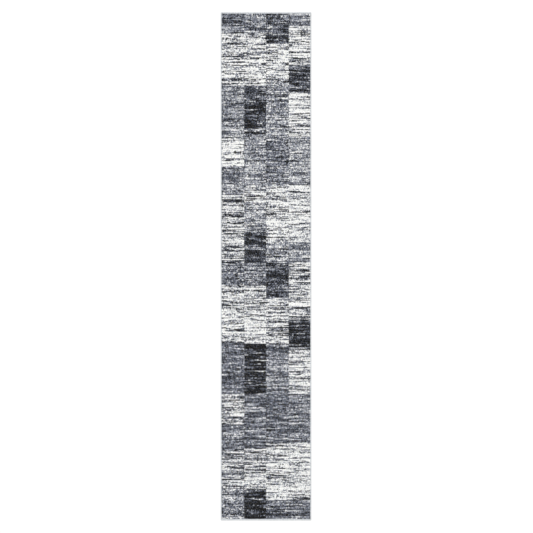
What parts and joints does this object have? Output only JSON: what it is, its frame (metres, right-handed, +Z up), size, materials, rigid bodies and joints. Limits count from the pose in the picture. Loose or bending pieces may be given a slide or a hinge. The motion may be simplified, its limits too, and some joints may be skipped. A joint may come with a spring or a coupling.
{
  "type": "runner rug",
  "caption": "Long flat runner rug: cut pile woven in columns of grey, white and charcoal colour blocks on a ground cloth, with overlocked light grey edges.",
  "frame": {"origin": "middle of the flat underside, where the rug rests on the floor", "axes": "+Z up through the pile, +Y along the rug's length, +X across its width"},
  "size_m": [0.8, 4.5, 0.0105],
  "materials": {
    "pile_white": "matte",
    "pile_frost": "matte",
    "pile_streaked": "matte",
    "pile_silver": "matte",
    "pile_ash": "matte",
    "pile_slate": "matte",
    "pile_iron": "matte",
    "pile_charcoal": "matte",
    "pile_black": "matte",
    "ground_weave": "matte",
    "latex_coat": "matte",
    "edge_yarn": "matte"
  },
  "bodies": {
    "root": {"end_overlock_far": "edge_yarn", "end_overlock_near": "edge_yarn", "ground_cloth": "ground_weave", "latex_back_coat": "latex_coat", "pile_a01_iron": "pile_iron", "pile_a02_frost": "pile_frost", "pile_a03_ash": "pile_ash", "pile_a04_white": "pile_white", "pile_a05_ash": "pile_ash", "pile_a06_streaked": "pile_streaked", "pile_a07_slate": "pile_slate", "pile_a08_frost": "pile_frost", "pile_a09_iron": "pile_iron", "pile_a10_streaked": "pile_streaked", "pile_a11_iron": "pile_iron", "pile_a12_streaked": "pile_streaked", "pile_a13_ash": "pile_ash", "pile_b01_slate": "pile_slate", "pile_b02_frost": "pile_frost", "pile_b03_charcoal": "pile_charcoal", "pile_b04_silver": "pile_silver", "pile_b05_frost": "pile_frost", "pile_b06_silver": "pile_silver", "pile_b07_charcoal": "pile_charcoal", "pile_b08_ash": "pile_ash", "pile_b09_white": "pile_white", "pile_b10_black": "pile_black", "pile_b11_iron": "pile_iron", "pile_b12_streaked": "pile_streaked", "pile_b13_black": "pile_black", "pile_c01_charcoal": "pile_charcoal", "pile_c02_frost": "pile_frost", "pile_c03_silver": "pile_silver", "pile_c04_slate": "pile_slate", "pile_c05_white": "pile_white", "pile_c06_silver": "pile_silver", "pile_c07_charcoal": "pile_charcoal", "pile_c08_streaked": "pile_streaked", "pile_c09_slate": "pile_slate", "pile_c10_iron": "pile_iron", "pile_c11_white": "pile_white", "pile_c12_iron": "pile_iron", "pile_d01_slate": "pile_slate", "pile_d02_frost": "pile_frost", "pile_d03_charcoal": "pile_charcoal", "pile_d04_white": "pile_white", "pile_d05_silver": "pile_silver", "pile_d06_white": "pile_white", "pile_d07_ash": "pile_ash", "pile_d08_frost": "pile_frost", "pile_d09_black": "pile_black", "pile_d10_white": "pile_white", "pile_d11_slate": "pile_slate", "pile_d12_white": "pile_white", "pile_d13_iron": "pile_iron", "side_overlock_left": "edge_yarn", "side_overlock_right": "edge_yarn"}
  },
  "joints": []
}
